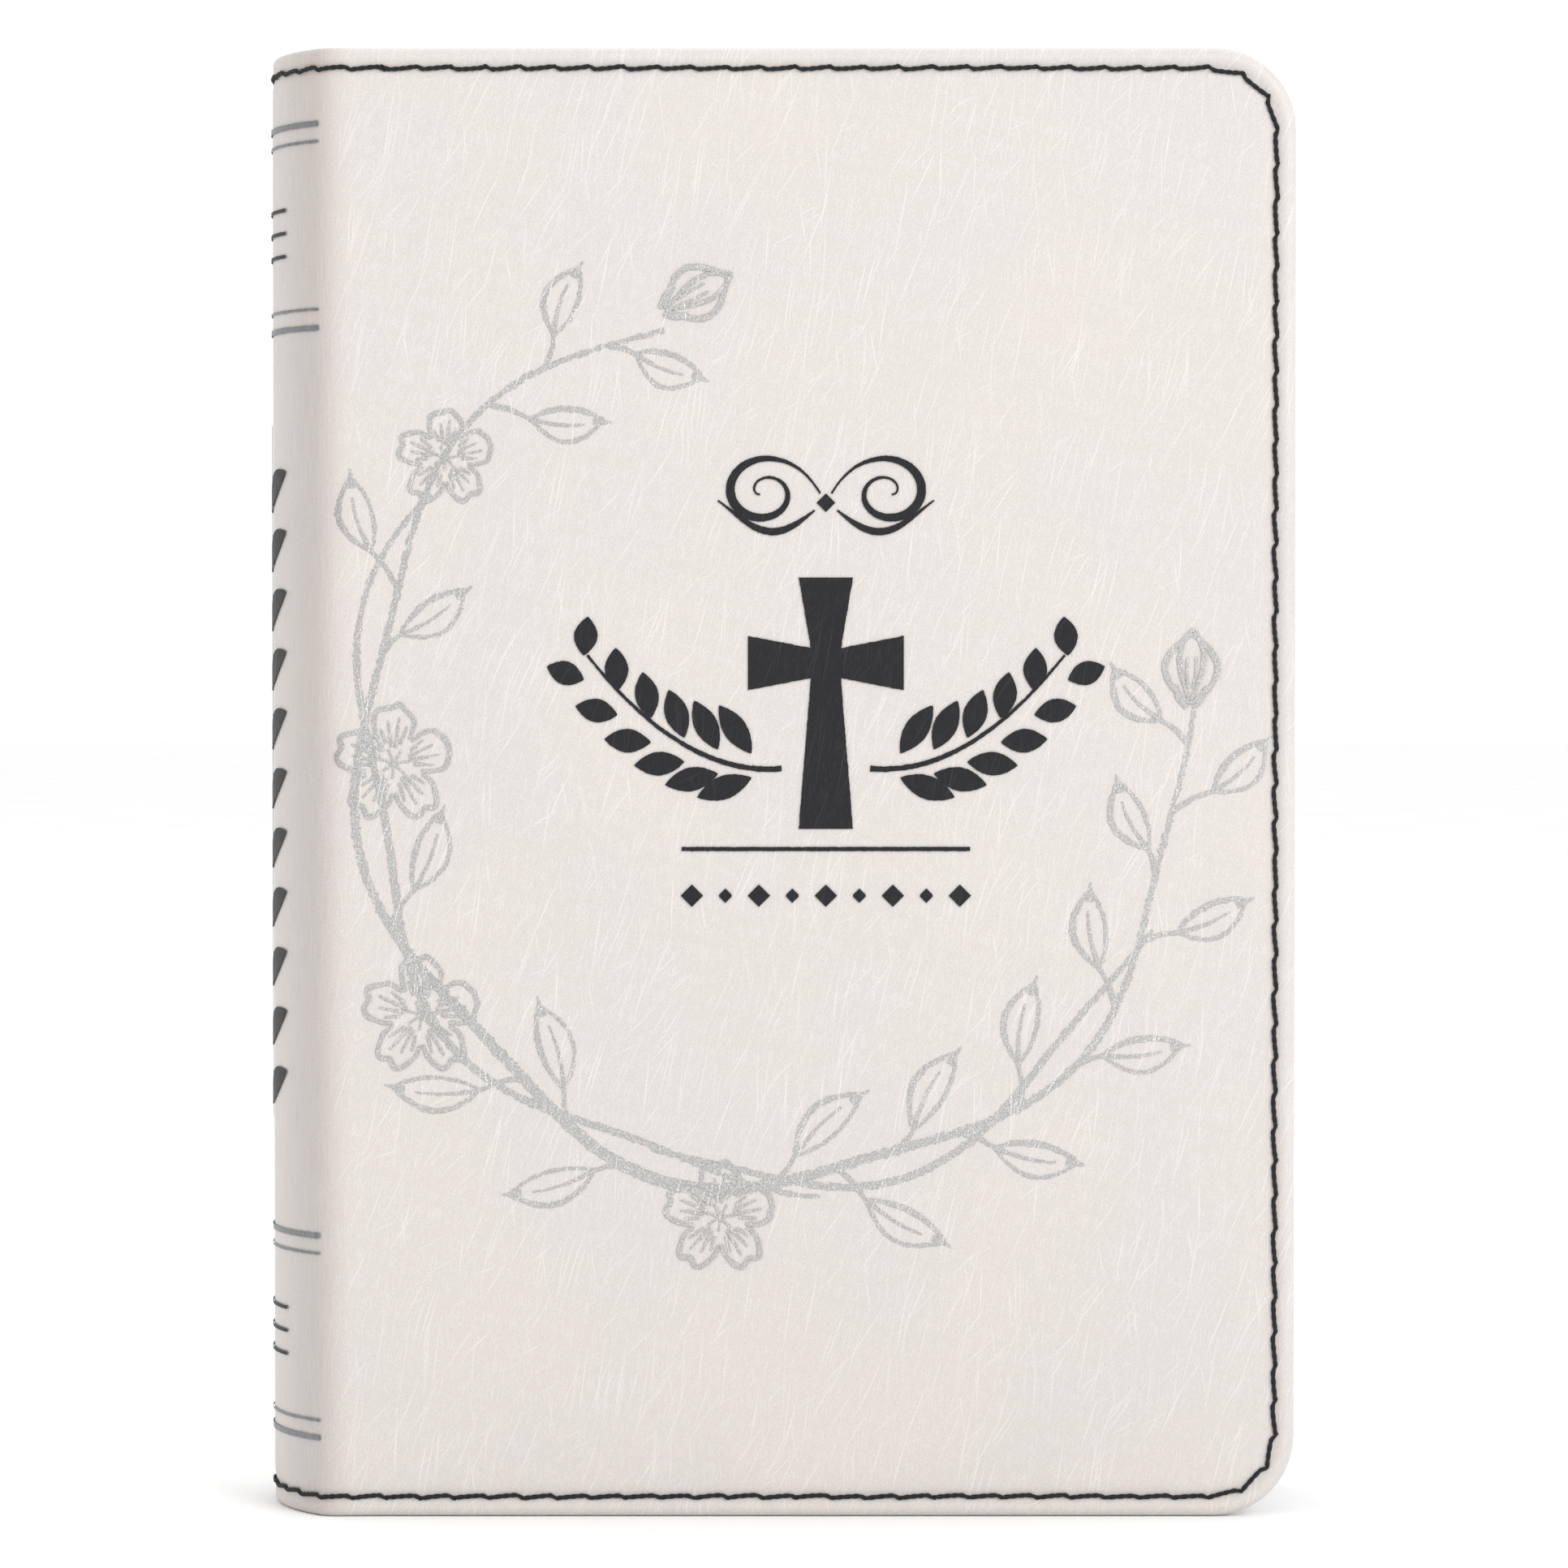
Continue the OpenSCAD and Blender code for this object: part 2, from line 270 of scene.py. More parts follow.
class Nodes:
    """A material's node tree, with short calls for the nodes used here."""

    def __init__(self, name):
        self.material = bpy.data.materials.new(name)
        self.material.use_nodes = True
        self.tree = self.material.node_tree
        self.shader = self.tree.nodes["Principled BSDF"]
        self.uv = self.make("ShaderNodeUVMap", uv_map="surface").outputs[0]
        self.swayed = None

    def feed(self, socket, value):
        """Links an output or sets a constant."""
        if isinstance(value, bpy.types.NodeSocket):
            self.tree.links.new(value, socket)
        else:
            socket.default_value = value

    def make(self, kind, inputs=(), **props):
        n = self.tree.nodes.new(kind)
        for k, value in props.items():
            setattr(n, k, value)
        for k, value in dict(inputs).items():
            self.feed(n.inputs[k], value)
        return n

    def put(self, name, value):
        self.feed(self.shader.inputs[name], value)

    def math(self, operation, a, b=0.0):
        return self.make("ShaderNodeMath", {0: a, 1: b}, operation=operation).outputs[0]

    def times(self, a, *rest):
        for b in rest:
            a = self.math("MULTIPLY", a, b)
        return a

    def mapped(self, scale, angle=0.0, offset=(0, 0, 0), source=None):
        """The coordinate turned by angle in degrees, then scaled."""
        turned = self.make("ShaderNodeMapping", {
            "Vector": source or self.uv, "Rotation": (0, 0, math.radians(angle))})
        return self.make("ShaderNodeMapping", {
            "Vector": turned.outputs[0], "Scale": (*scale, 1), "Location": offset}).outputs[0]

    def noise(self, vector, detail=2.0, rough=0.5):
        return self.make("ShaderNodeTexNoise", {
            "Vector": vector, "Scale": 1.0, "Detail": detail, "Roughness": rough,
        }, noise_dimensions="2D").outputs[0]

    def ramp(self, value, stops, smooth_steps=False):
        """stops: (place, grey or colour)."""
        n = self.make("ShaderNodeValToRGB", {"Fac": value})
        ramp = n.color_ramp
        ramp.interpolation = "EASE" if smooth_steps else "LINEAR"
        while len(ramp.elements) < len(stops):
            ramp.elements.new(0.5)
        for e, (at, c) in zip(ramp.elements, stops):
            e.position = at
            e.color = (c, c, c, 1) if isinstance(c, (int, float)) else (*c, 1)
        return n.outputs[0]

    def mix(self, factor, a, b, way="MIX"):
        n = self.make("ShaderNodeMix", {0: factor, 6: a, 7: b}, data_type="RGBA", blend_type=way)
        return n.outputs[2]

    def bump(self, height, strength, distance_mm):
        return self.make("ShaderNodeBump", {
            "Height": height, "Strength": strength, "Distance": distance_mm * MM}).outputs[0]

    def from_spine(self):
        """Distance round the cover from the spine's centre line, in units of 50 mm."""
        u = self.make("ShaderNodeSeparateXYZ", {0: self.uv}).outputs[0]
        return self.times(self.math("ABSOLUTE", u), 0.02)


def fibres(n):
    """Height of the pressed fibres: layers of thin straight needles, most leaning right of vertical."""
    total = None
    for angle, across, along, empty, weight in FIBRES:
        place = n.mapped((across, along), angle, (angle * 1.7 + 50, angle + 80, 0), n.swayed)
        cell = n.make("ShaderNodeTexVoronoi", {"Vector": place, "Scale": 1.0}, voronoi_dimensions="2D")
        needle = n.ramp(cell.outputs["Distance"], [(.05, weight), (.48, 0)])
        kept = n.ramp(cell.outputs["Color"], [(empty, 0), (empty + .01, .55), (.98, 1)])
        needle = n.times(needle, kept)
        total = needle if total is None else n.math("MAXIMUM", total, needle)
    return total


def leather_height(n):
    """Fibres, fine grain, upright lines, a mask of the rounded spine, and the height that they give.

    The lines show on the spine, where the leather is drawn out."""
    sway = n.make("ShaderNodeTexNoise", {
        "Vector": n.mapped((.09, .06)), "Scale": 1.0, "Detail": 1.0}, noise_dimensions="2D").outputs["Color"]
    n.swayed = n.make("ShaderNodeVectorMath", {
        0: sway, 1: (1.2, 1.2, 0), 2: n.uv}, operation="MULTIPLY_ADD").outputs[0]
    line = fibres(n)
    grain = n.noise(n.mapped((6.5, 4.6), 15, (5, 8, 0)), detail=3, rough=.7)
    drawn = n.noise(n.mapped((6.5, .22), 0, (2, 31, 0)), detail=2, rough=.6)
    spine = n.ramp(n.from_spine(), [(.325, 1), (.395, 0)], True)
    flat = n.math("ADD", line, n.times(grain, .55))
    round_part = n.math("ADD", n.times(line, .18), drawn)
    height = n.mix(spine, flat, round_part)
    return line, grain, drawn, spine, height


def leather_material():
    n = Nodes("pearl_leather")
    line, grain, drawn, spine, height = leather_height(n)
    mottle = n.noise(n.mapped((.05, .035), 0, (7, 3, 0)), detail=3)
    base = n.ramp(mottle, [(.3, (.604, .566, .540)), (.5, (.597, .561, .537)), (.7, (.591, .557, .536))])
    # Painted highlight: the fibres are coloured lighter to stand in for their glints, and less so on the
    # rounded spine, which takes grazing light.
    fibre_glint_share = n.math("SUBTRACT", .7, n.times(spine, .6))
    painted_fibre_glints = n.mix(n.times(line, fibre_glint_share), base, (.82, .80, .78, 1))
    # Grain tone, with its brightest specks painted lighter as glints.
    grain_tone_and_glints = n.ramp(grain, [(.36, (.90, .895, .89)), (.52, 1), (.68, 1.10)])
    with_glints_and_grain = n.mix(.7, painted_fibre_glints, grain_tone_and_glints, "MULTIPLY")
    # The drawn-out striations are the leather's own; the ramp stays below 1, so it also paints shade onto the
    # whole rounded spine.
    striation_and_shade = n.ramp(drawn, [(.3, (.86, .845, .83)), (.65, (.97, .965, .96))])
    striated_and_shaded = n.mix(n.times(spine, .8), with_glints_and_grain, striation_and_shade, "MULTIPLY")
    # Painted shade: the fold between the spine and the cover is coloured a little darker, standing in for the
    # shade that falls there
    fold = (.90, .893, .888)
    painted_crease_shade = n.ramp(n.from_spine(), [(.14, 1), (.31, fold), (.34, fold), (.41, 1)], True)
    n.put("Base Color", n.mix(1.0, striated_and_shaded, painted_crease_shade, "MULTIPLY"))
    n.put("Roughness", n.ramp(line, [(0, .46), (.7, .27)]))
    n.put("Specular IOR Level", 0.5)
    n.put("Sheen Weight", 0.08)
    n.put("Sheen Roughness", 0.4)
    n.put("Normal", n.bump(height, 0.6, 0.045))
    return n.material


def silver_material():
    n = Nodes("silver_foil")
    line, grain, drawn, spine, height = leather_height(n)
    glint = n.math("ADD", n.times(line, .3), grain)
    base = n.ramp(glint, [(.38, (.38, .373, .364)), (.56, (.485, .477, .466)), (.84, (.90, .887, .87))])
    # The foil is coloured darker on the rounded spine.
    darker_on_spine = n.ramp(drawn, [(.35, (.16, .165, .175)), (.6, (.25, .255, .265))])
    n.put("Base Color", n.mix(spine, base, darker_on_spine))
    n.put("Metallic", 1.0)
    n.put("Roughness", n.ramp(line, [(0, .42), (.8, .24)]))
    n.put("Normal", n.bump(height, 0.6, 0.055))
    return n.material


def ink_material():
    n = Nodes("black_foil")
    line, *_, height = leather_height(n)
    n.put("Base Color", n.ramp(line, [(0, (.014, .014, .016)), (.9, (.035, .035, .038))]))
    n.put("Roughness", n.ramp(line, [(0, .52), (.9, .4)]))
    n.put("Specular IOR Level", 0.2)
    n.put("Normal", n.bump(height, 0.5, 0.05))
    return n.material


def thread_material():
    n = Nodes("black_thread")
    hair = n.noise(n.mapped((2.4, 9), 0), detail=4, rough=.7)
    n.put("Base Color", n.ramp(hair, [(.3, (.006, .006, .007)), (.7, (.020, .021, .023))]))
    n.put("Roughness", 0.72)
    n.put("Specular IOR Level", 0.25)
    n.put("Sheen Weight", 0.04)
    n.put("Normal", n.bump(hair, 0.8, 0.06))
    return n.material


def paper_material(name, low, high, grain_mm=0.02):
    n = Nodes(name)
    pulp = n.noise(n.mapped((1.6, 1.1), 8), detail=5, rough=.65)
    n.put("Base Color", n.ramp(pulp, [(.32, low), (.68, high)]))
    n.put("Roughness", n.ramp(pulp, [(.3, .82), (.7, .9)]))
    n.put("Specular IOR Level", 0.3)
    n.put("Normal", n.bump(pulp, 0.35, grain_mm))
    return n.material


LINE_PITCH = 2.05


def page_material():
    """Thin printing paper. Grey strokes stand for lines of print in two columns."""
    n = Nodes("page_paper")
    split = n.make("ShaderNodeSeparateXYZ", {0: n.uv})
    x, z = split.outputs[0], split.outputs[1]
    pulp = n.noise(n.mapped((1.3, .9), 8), detail=5, rough=.65)
    row = n.math("FRACT", n.math("DIVIDE", z, LINE_PITCH))
    rule = n.times(n.math("GREATER_THAN", row, .36), n.math("LESS_THAN", row, .70))
    level = n.math("FLOOR", n.math("DIVIDE", z, LINE_PITCH))
    words = n.make("ShaderNodeCombineXYZ", {0: n.times(x, .52), 1: n.times(level, 7.31)}).outputs[0]
    gaps = n.math("GREATER_THAN", n.noise(words, detail=3, rough=.75), .415)
    within = n.times(n.math("GREATER_THAN", x, -36.5), n.math("LESS_THAN", x, 44))
    between = n.math("GREATER_THAN", n.math("ABSOLUTE", n.math("SUBTRACT", x, 3.7)), 1.9)
    tall = n.times(n.math("GREATER_THAN", z, 13.2), n.math("LESS_THAN", z, 143))
    printed = n.times(rule, gaps, within, between, tall)
    paper = n.ramp(pulp, [(.3, (.60, .588, .556)), (.7, (.655, .642, .61))])
    n.put("Base Color", n.mix(n.times(printed, .45), paper, (.10, .10, .11, 1)))
    n.put("Roughness", 0.85)
    n.put("Specular IOR Level", 0.3)
    n.put("Normal", n.bump(pulp, 0.3, 0.015))
    return n.material


def gilt_material():
    """Silver page edges: the leaves show as fine lines along the block."""
    n = Nodes("gilt_edge")
    leaf_lines = n.noise(n.mapped((.05, 15), 0), detail=3, rough=.6)
    n.put("Base Color", n.ramp(leaf_lines, [(.3, (.42, .42, .425)), (.7, (.72, .72, .72))]))
    n.put("Metallic", 0.85)
    n.put("Roughness", n.ramp(leaf_lines, [(.3, .5), (.7, .34)]))
    n.put("Normal", n.bump(leaf_lines, 0.7, 0.04))
    return n.material


def weave_material(name, warp, low, high, strength=0.6, rough=0.8, sheen=0.3, stripe=None):
    """Woven cloth: warp is threads per mm across and along, stripe is (stripes per 2 mm, colour)."""
    n = Nodes(name)
    split = n.make("ShaderNodeSeparateXYZ", {0: n.uv})
    waves = [n.math("SINE", n.times(split.outputs[k], 2 * math.pi * warp[k])) for k in (0, 1)]
    cross = n.times(waves[0], waves[1])
    height = n.math("ADD", n.times(cross, .5), .5)
    fuzz = n.noise(n.mapped((3, 3), 20), detail=3)
    if stripe:
        wave_u = n.math("SINE", n.times(split.outputs[0], math.pi * stripe[0]))
        step = n.math("GREATER_THAN", wave_u, 0)
        n.put("Base Color", n.mix(step, n.ramp(fuzz, [(.3, low), (.7, high)]), (*stripe[1], 1)))
    else:
        tone = n.math("ADD", n.times(height, .7), n.times(fuzz, .3))
        n.put("Base Color", n.ramp(tone, [(.2, low), (.8, high)]))
    n.put("Roughness", rough)
    n.put("Sheen Weight", sheen)
    n.put("Normal", n.bump(height, strength, 0.05))
    return n.material


leather = leather_material()
silver = silver_material()
ink = ink_material()
thread = thread_material()
lining_paper = paper_material("lining_paper", (.50, .492, .485), (.56, .552, .545))
endpaper = paper_material("endpaper", (.60, .592, .58), (.655, .645, .632))
kraft = paper_material("kraft_paper", (.36, .24, .13), (.46, .33, .20), 0.03)
card = paper_material("grey_board", (.42, .37, .30), (.52, .46, .38), 0.04)
page_paper = page_material()
gilt = gilt_material()
gauze = weave_material("gauze", (.9, .9), (.46, .44, .38), (.62, .60, .55), 0.9)
band_cloth = weave_material(
    "endband_cloth", (1.6, 3), (.54, .54, .55), (.62, .62, .63), stripe=(1.05, (.33, .34, .37)))
satin = weave_material("ribbon_satin", (4.5, 2.2), (.52, .52, .54), (.63, .63, .65), 0.35, 0.36, 0.4)

# -------------------------------- leather

# Where the flat face starts, in from the edge
FACE_D = COVER_T / 2


def edge_rounds(t, to_face=False):
    """(inset, height), and inset when unrolled, round a turned edge of thickness t, from the inner seam
    outwards. to_face adds the place where the flat face of a cover starts."""
    inner = [(1.62, -LEATHER_T - .05), (1.54, -t + .16), (1.40, -t + .03), (t / 2 + .08, -t)]
    turn = [(t / 2 * (1 - math.sin(a)), -t / 2 - t / 2 * math.cos(a)) for a in np.linspace(0, math.pi, 11)]
    path = np.array(inner + turn)
    if to_face:
        path = np.vstack([path, [FACE_D + .0001, 0]])
    step = np.hypot(*np.diff(path, axis=0).T)
    along = np.concatenate([np.cumsum(step[::-1])[::-1], [0]])
    return path, FACE_D - along


# Insets of the rows of points on the outer face
OUTER_D = np.array([
    1.3, 1.5, 1.7, 1.9, 2.05, 2.2, 2.35, 2.5, 2.7, 2.9, 3.2, 3.5, 4.0, 4.6, 5.6, 7.0, 8.3])
RISE = np.linspace(CORNER_R, COVER_H - CORNER_R, 39)
# Rows of points on the inner face, and where the turned edge starts to get thicker
INNER_ROWS = 12
SPINE_EDGE_U = 16


def strip_columns(columns):
    """The leather between two values of u: a closed ring of points at each column."""
    rings, coords = [], []
    for u in columns:
        s = abs(u)
        share = float(smooth((s - SPINE_EDGE_U) / (COVER_U - SPINE_EDGE_U)))
        t = SPINE_EDGE_T + (COVER_T - SPINE_EDGE_T) * share
        path, unrolled = edge_rounds(t, to_face=True)
        d, h = path[:, 0], path[:, 1]
        face_v = np.concatenate([OUTER_D, RISE, COVER_H - OUTER_D[::-1]])
        inner_v = np.linspace(COVER_H - 4, 4, INNER_ROWS)
        v = np.concatenate([d, face_v, COVER_H - d[::-1], inner_v])
        high = np.concatenate([h, np.zeros(len(face_v)), h[::-1], np.full(len(inner_v), -LEATHER_T)])
        rings.append(surface(np.full(len(v), u), v, high))
        vv = np.concatenate([unrolled, face_v, COVER_H - unrolled[::-1], inner_v + 200])
        coords.append(np.stack([np.full(len(v), u), vv], 1))
    return np.array(rings), np.array(coords)


def leather_strip(name, columns, zone, side):
    rings, coords = strip_columns(columns)
    count, size = rings.shape[:2]
    faces = grid(count, size, closed=True, flip=columns[-1] > columns[0])
    inside = size - INNER_ROWS - 1
    slots = [1 if f % size >= inside else 0 for f in range(len(faces))]
    obj = piece(name, rings.reshape(-1, 3), faces, [leather, lining_paper], coords.reshape(-1, 2), slots)
    attach(obj, zone, side)
    return obj


COVER_RUN = 27


def outline(d, r=CORNER_R, x0=RIGID_X, x1=FORE_X, low=0.0, high=COVER_H, run=COVER_RUN, corner=10, rise=RISE):
    """A cover's or a page's outline inset by d: along the tail, up the fore-edge and back along the
    head. run and corner are numbers of points, and rise is the heights of those on the fore-edge."""
    arc = np.linspace(-math.pi / 2, 0, corner + 1)[1:-1]
    cx, rr = x1 - r, max(r - d, 0)
    across = np.linspace(x0, cx, run)
    tail = np.stack([across, np.full(run, low + d)], 1)
    turn = np.stack([cx + rr * np.cos(arc), low + r + rr * np.sin(arc)], 1)
    fore = np.stack([np.full(len(rise), x1 - min(d, r)), rise], 1)
    back = turn[::-1] * [1, -1] + [0, low + high]
    head = tail[::-1] * [1, -1] + [0, low + high]
    return np.vstack([tail, turn, fore, back, head])


def cover_panel(side):
    """The rigid part of a cover: a turned edge, the sewn channel and a slightly full face."""
    path, unrolled = edge_rounds(COVER_T)
    insets = np.concatenate([path[:, 0], OUTER_D, [CORNER_R]])
    heights = np.concatenate([path[:, 1], np.zeros(len(OUTER_D) + 1)])
    flat = np.concatenate([unrolled, OUTER_D, [CORNER_R]])
    loops, coords = [], []
    for d, h, d_uv in zip(insets, heights, flat):
        line, place = outline(d), outline(d_uv)
        loops.append(surface(side * cover_u(line[:, 0]), line[:, 1], h))
        coords.append(np.stack([side * cover_u(place[:, 0]), place[:, 1]], 1))
    faces = grid(len(loops), len(loops[0]), flip=side < 0)
    base = sum(len(loop) for loop in loops)
    x, v = (m.ravel() for m in np.meshgrid(np.linspace(RIGID_X, FORE_X - CORNER_R, COVER_RUN), RISE))
    loops.append(surface(side * cover_u(x), v))
    coords.append(np.stack([side * cover_u(x), v], 1))
    faces += [tuple(base + i for i in f) for f in grid(len(RISE), COVER_RUN, flip=side < 0)]
    name = f"{SIDE_NAME[side]}_cover_leather"
    obj = piece(f"{name}_shell", np.vstack(loops), faces, [leather], np.vstack(coords))
    merge = obj.modifiers.new("merge", "WELD")
    merge.merge_threshold = 2e-6    # metres
    bpy.context.view_layer.objects.active = obj
    bpy.ops.object.modifier_apply(modifier=merge.name)
    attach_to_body(obj, BODIES[side][3])
    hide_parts(name)
    return obj


spine_shell = leather_strip("spine_leather_shell", np.linspace(-SPINE_END, SPINE_END, 71), 0, 1)
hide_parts("spine_leather")
for side in (1, -1):
    cover_panel(side)
    for zone in (1, 2, 3):
        columns = np.linspace(ZONE_U[zone], ZONE_U[zone + 1], 25) * side
        strip = leather_strip(f"{SIDE_NAME[side]}_hinge{zone}_shell", columns, zone, side)
        if zone == 2:
            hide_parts(f"{SIDE_NAME[side]}_hinge_leather")

# -------------------------------- stitching


def stitch_path(points, count):
    """Centre and chord of each stitch along a polyline in u and v."""
    points = np.asarray(points, float)
    length = np.concatenate([[0], np.cumsum(np.hypot(*np.diff(points, axis=0).T))])
    half = length[-1] / count / 2
    made = []
    for s in (2 * np.arange(count) + 1) * half:
        ends = [np.array([np.interp(t, length, points[:, k]) for k in (0, 1)]) for t in (s - half, s + half)]
        made.append(((ends[0] + ends[1]) / 2, ends[1] - ends[0]))
    return made


STITCH_CLIMB = 0.3
THREAD_R = 0.20
PLY_OFFSET = 0.065


def add_stitch(build, centre, chord):
    """One two-ply stitch. It climbs along its length, then curls down to the start of the next one."""
    length = np.hypot(*chord)
    along = chord / length
    across = np.array([-along[1], along[0]])
    steps, sides = 22, 6
    t = np.linspace(-1.04, 1.16, steps)
    slope = STITCH_CLIMB * (1 + rng.uniform(-.3, .3))
    wander = rng.uniform(-.04, .04)
    turns = rng.uniform(1.9, 2.4)
    phase = rng.uniform(0, math.pi)
    bow = rng.uniform(.02, .09)
    curl = smooth(np.clip((t - .62) / .5, 0, 1))
    rise = slope * ((1 - curl) * np.minimum(t, .8) - curl) * .5 + bow * (1 - t * t)
    sunk = np.clip(np.abs(t - .06) - .86, 0, 1) / .24
    height = 0.19 - 0.16 * sunk
    for ply in (0, math.pi):
        twist = phase + ply + turns * math.pi * t
        side_step = rise + wander + PLY_OFFSET * np.cos(twist)
        up = height + PLY_OFFSET * np.sin(twist)
        line = centre + np.outer(t * length / 2, along) + np.outer(side_step, across)
        ring = np.linspace(0, 2 * math.pi, sides, endpoint=False)
        radius = (THREAD_R * (1 - .3 * sunk))[:, None]
        points = np.concatenate([
            (line[:, None, :] + radius[..., None] * np.cos(ring)[None, :, None] * across),
            (up[:, None] + radius * np.sin(ring))[..., None],
        ], 2).reshape(-1, 3)
        along_thread = np.repeat(t * length / 2, sides) + phase * 3
        uv = np.stack([along_thread, np.tile(np.arange(sides) / sides, steps)], 1)
        build.add(points, grid(steps, sides, closed=True), uv=uv)


def cover_stitch_line(side):
    """Round one cover from the tail to the head, inside its edge."""
    turn = CORNER_R - STITCH_INSET
    cx = FORE_X - CORNER_R
    arc = np.linspace(-math.pi / 2, 0, 9)
    tail = [(RIGID_X, STITCH_INSET), (cx, STITCH_INSET)]
    corner = [(cx + turn * math.cos(a), CORNER_R + turn * math.sin(a)) for a in arc[1:]]
    upper = [(x, COVER_H - z) for x, z in (tail + corner)[::-1]]
    line = np.array(tail + corner + upper)
    line[:, 0] = side * cover_u(line[:, 0])
    return line


stitches = Build()
for side in (1, -1):
    line = cover_stitch_line(side)
    length = np.hypot(*np.diff(line, axis=0).T).sum()
    for centre, chord in stitch_path(line, round(length / STITCH_PITCH)):
        add_stitch(stitches, centre, chord)
for v in (STITCH_INSET, COVER_H - STITCH_INSET):
    ends = [(-COVER_U, v), (COVER_U, v)]
    for centre, chord in stitch_path(ends, round(2 * COVER_U / STITCH_PITCH)):
        add_stitch(stitches, centre, chord)
sewn = lay("stitching", stitches, thread)
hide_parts("spine_stitching")
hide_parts("front_stitching")
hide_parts("back_stitching")

# -------------------------------- foil

# Each stroke lies a little above the one before it, so that crossing strokes don't share a plane
FOIL_H, FOIL_STEP = 0.03, 0.0004
# The crescent's middle and half axes, the title's middle, in x and v
WREATH_AT = np.array([-0.5, 83.5])
WREATH = np.array([44.5, 47.5])
TITLE_AT = np.array([5.0, 90.0])
# Angles round the crescent: where its two arms start, and where each one ends
ARM_START, LEFT_END, RIGHT_END = 264, 106, 364
# Angle, distance outside the middle line, radius
BLOSSOMS = [(141, 1, 5.2), (183, -3.5, 6.4), (216, 2.5, 6.4), (263, 4, 6)]


def turned(points, degrees):
    """Points turned about (0, 0)."""
    a = math.radians(degrees)
    return np.asarray(points, float) @ np.array([[math.cos(a), math.sin(a)], [-math.sin(a), math.cos(a)]])


def on_wreath(a, d=0.0):
    """A point on the crescent at angle a in degrees, outside its middle line by d."""
    a = np.radians(a)
    return WREATH_AT + np.stack([(WREATH[0] + d) * np.cos(a), (WREATH[1] + d) * np.sin(a)], -1)


def resample(points, step):
    """Even points along a polyline, and the share of its length at each."""
    points = np.asarray(points, float)
    length = np.concatenate([[0], np.cumsum(np.hypot(*np.diff(points, axis=0).T))])
    count = max(int(length[-1] / step), 2) + 1
    at = np.linspace(0, length[-1], count)
    return np.stack([np.interp(at, length, points[:, k]) for k in (0, 1)], 1), at / length[-1]


strokes = itertools.count()


def stroke(build, points, width, ragged=0.035, step=0.28, in_x=True):
    """A foil line along points in x and v, or in u and v without in_x.

    width is a number or a function of the share along it, and ragged is how much its edges shake."""
    line, share = resample(points, step)
    way = np.gradient(line, axis=0)
    way /= np.maximum(np.hypot(*way.T), 1e-9)[:, None]
    across = np.stack([-way[:, 1], way[:, 0]], 1)
    half = (width(share) if callable(width) else np.full(len(line), float(width))) / 2
    shake = rng.normal(0, ragged, (2, len(line)))
    left = line + across * (half + shake[0] * (half > .06))[:, None]
    right = line - across * (half + shake[1] * (half > .06))[:, None]
    flat = np.stack([left, right], 1).reshape(-1, 2)
    if in_x:
        flat[:, 0] = cover_u(flat[:, 0])
    points = np.column_stack([flat, np.full(len(flat), FOIL_H + FOIL_STEP * next(strokes))])
    build.add(points, grid(len(line), 2, flip=True))


def taper(thick, thin=0.25, tail=0.9):
    """Thick in the middle and thin at both ends."""
    return lambda s: thin + (thick - thin) * np.sin(np.pi * np.clip(s, 0, 1)) ** tail


def leaf_edge(length, half, bend, side):
    """One side of a leaf outline from its base to its tip, along +x."""
    s = np.linspace(0, 1, 22)
    return np.stack([length * s, side * half * np.sin(np.pi * s) ** 0.85 + bend * np.sin(np.pi * s)], 1)


def hollow_leaf(build, at, heading, length, half, bend):
    """A leaf outline with a heavier side, a pointed tip and a midrib."""
    for side in (-1, 1):
        heavy = 0.64 if side > 0 else 0.42
        stroke(build, at + turned(leaf_edge(length, half, bend, side), heading), taper(heavy, 0.28), 0.05)
    tip = at + turned([(length * .86, bend * .25), (length + .9, -.2)], heading)
    stroke(build, tip, lambda s: .8 - .65 * s)
    rib = [(length * s, bend * math.sin(math.pi * s)) for s in np.linspace(-.02, .74, 12)]
    stroke(build, at + turned(rib, heading), lambda s: .5 - .3 * s)


def blossom(build, at, r):
    """Five open petals, each an outline with a notch and short veins, round a ring of stamens."""
    for k in range(5):
        middle = math.radians(18 + 72 * k)
        spread = np.linspace(-1, 1, 25)
        a = middle + spread * math.radians(33)
        radius = r * (.30 + .70 * np.cos(spread * math.pi / 2 * .97) ** .42)
        radius *= 1 + .035 * np.cos(spread * 9 + k)
        radius *= 1 - .07 * np.exp(-(spread / .16) ** 2)
        edge = at + np.stack([radius * np.cos(a), radius * np.sin(a)], 1)
        stroke(build, edge, taper(.52, .36))
        for turn, start, end in ((-.36, .34, .66), (-.12, .26, .78), (.14, .28, .72), (.38, .36, .62)):
            vein = []
            for q in (start, (start + end) / 2, end):
                b = middle + turn * (.9 + .1 * q)
                vein.append(at + r * q * np.array([math.cos(b), math.sin(b)]))
            stroke(build, vein, lambda s: .36 - .18 * s)
    for k in range(7):
        a = math.radians(51.4 * k + 8)
        stroke(build, [at, at + r * .2 * np.array([math.cos(a), math.sin(a)])], .2)
        dot = at + r * .23 * np.array([math.cos(a), math.sin(a)])
        stroke(build, [dot - [.14, 0], dot + [.14, 0]], .28, 0.0, .14)


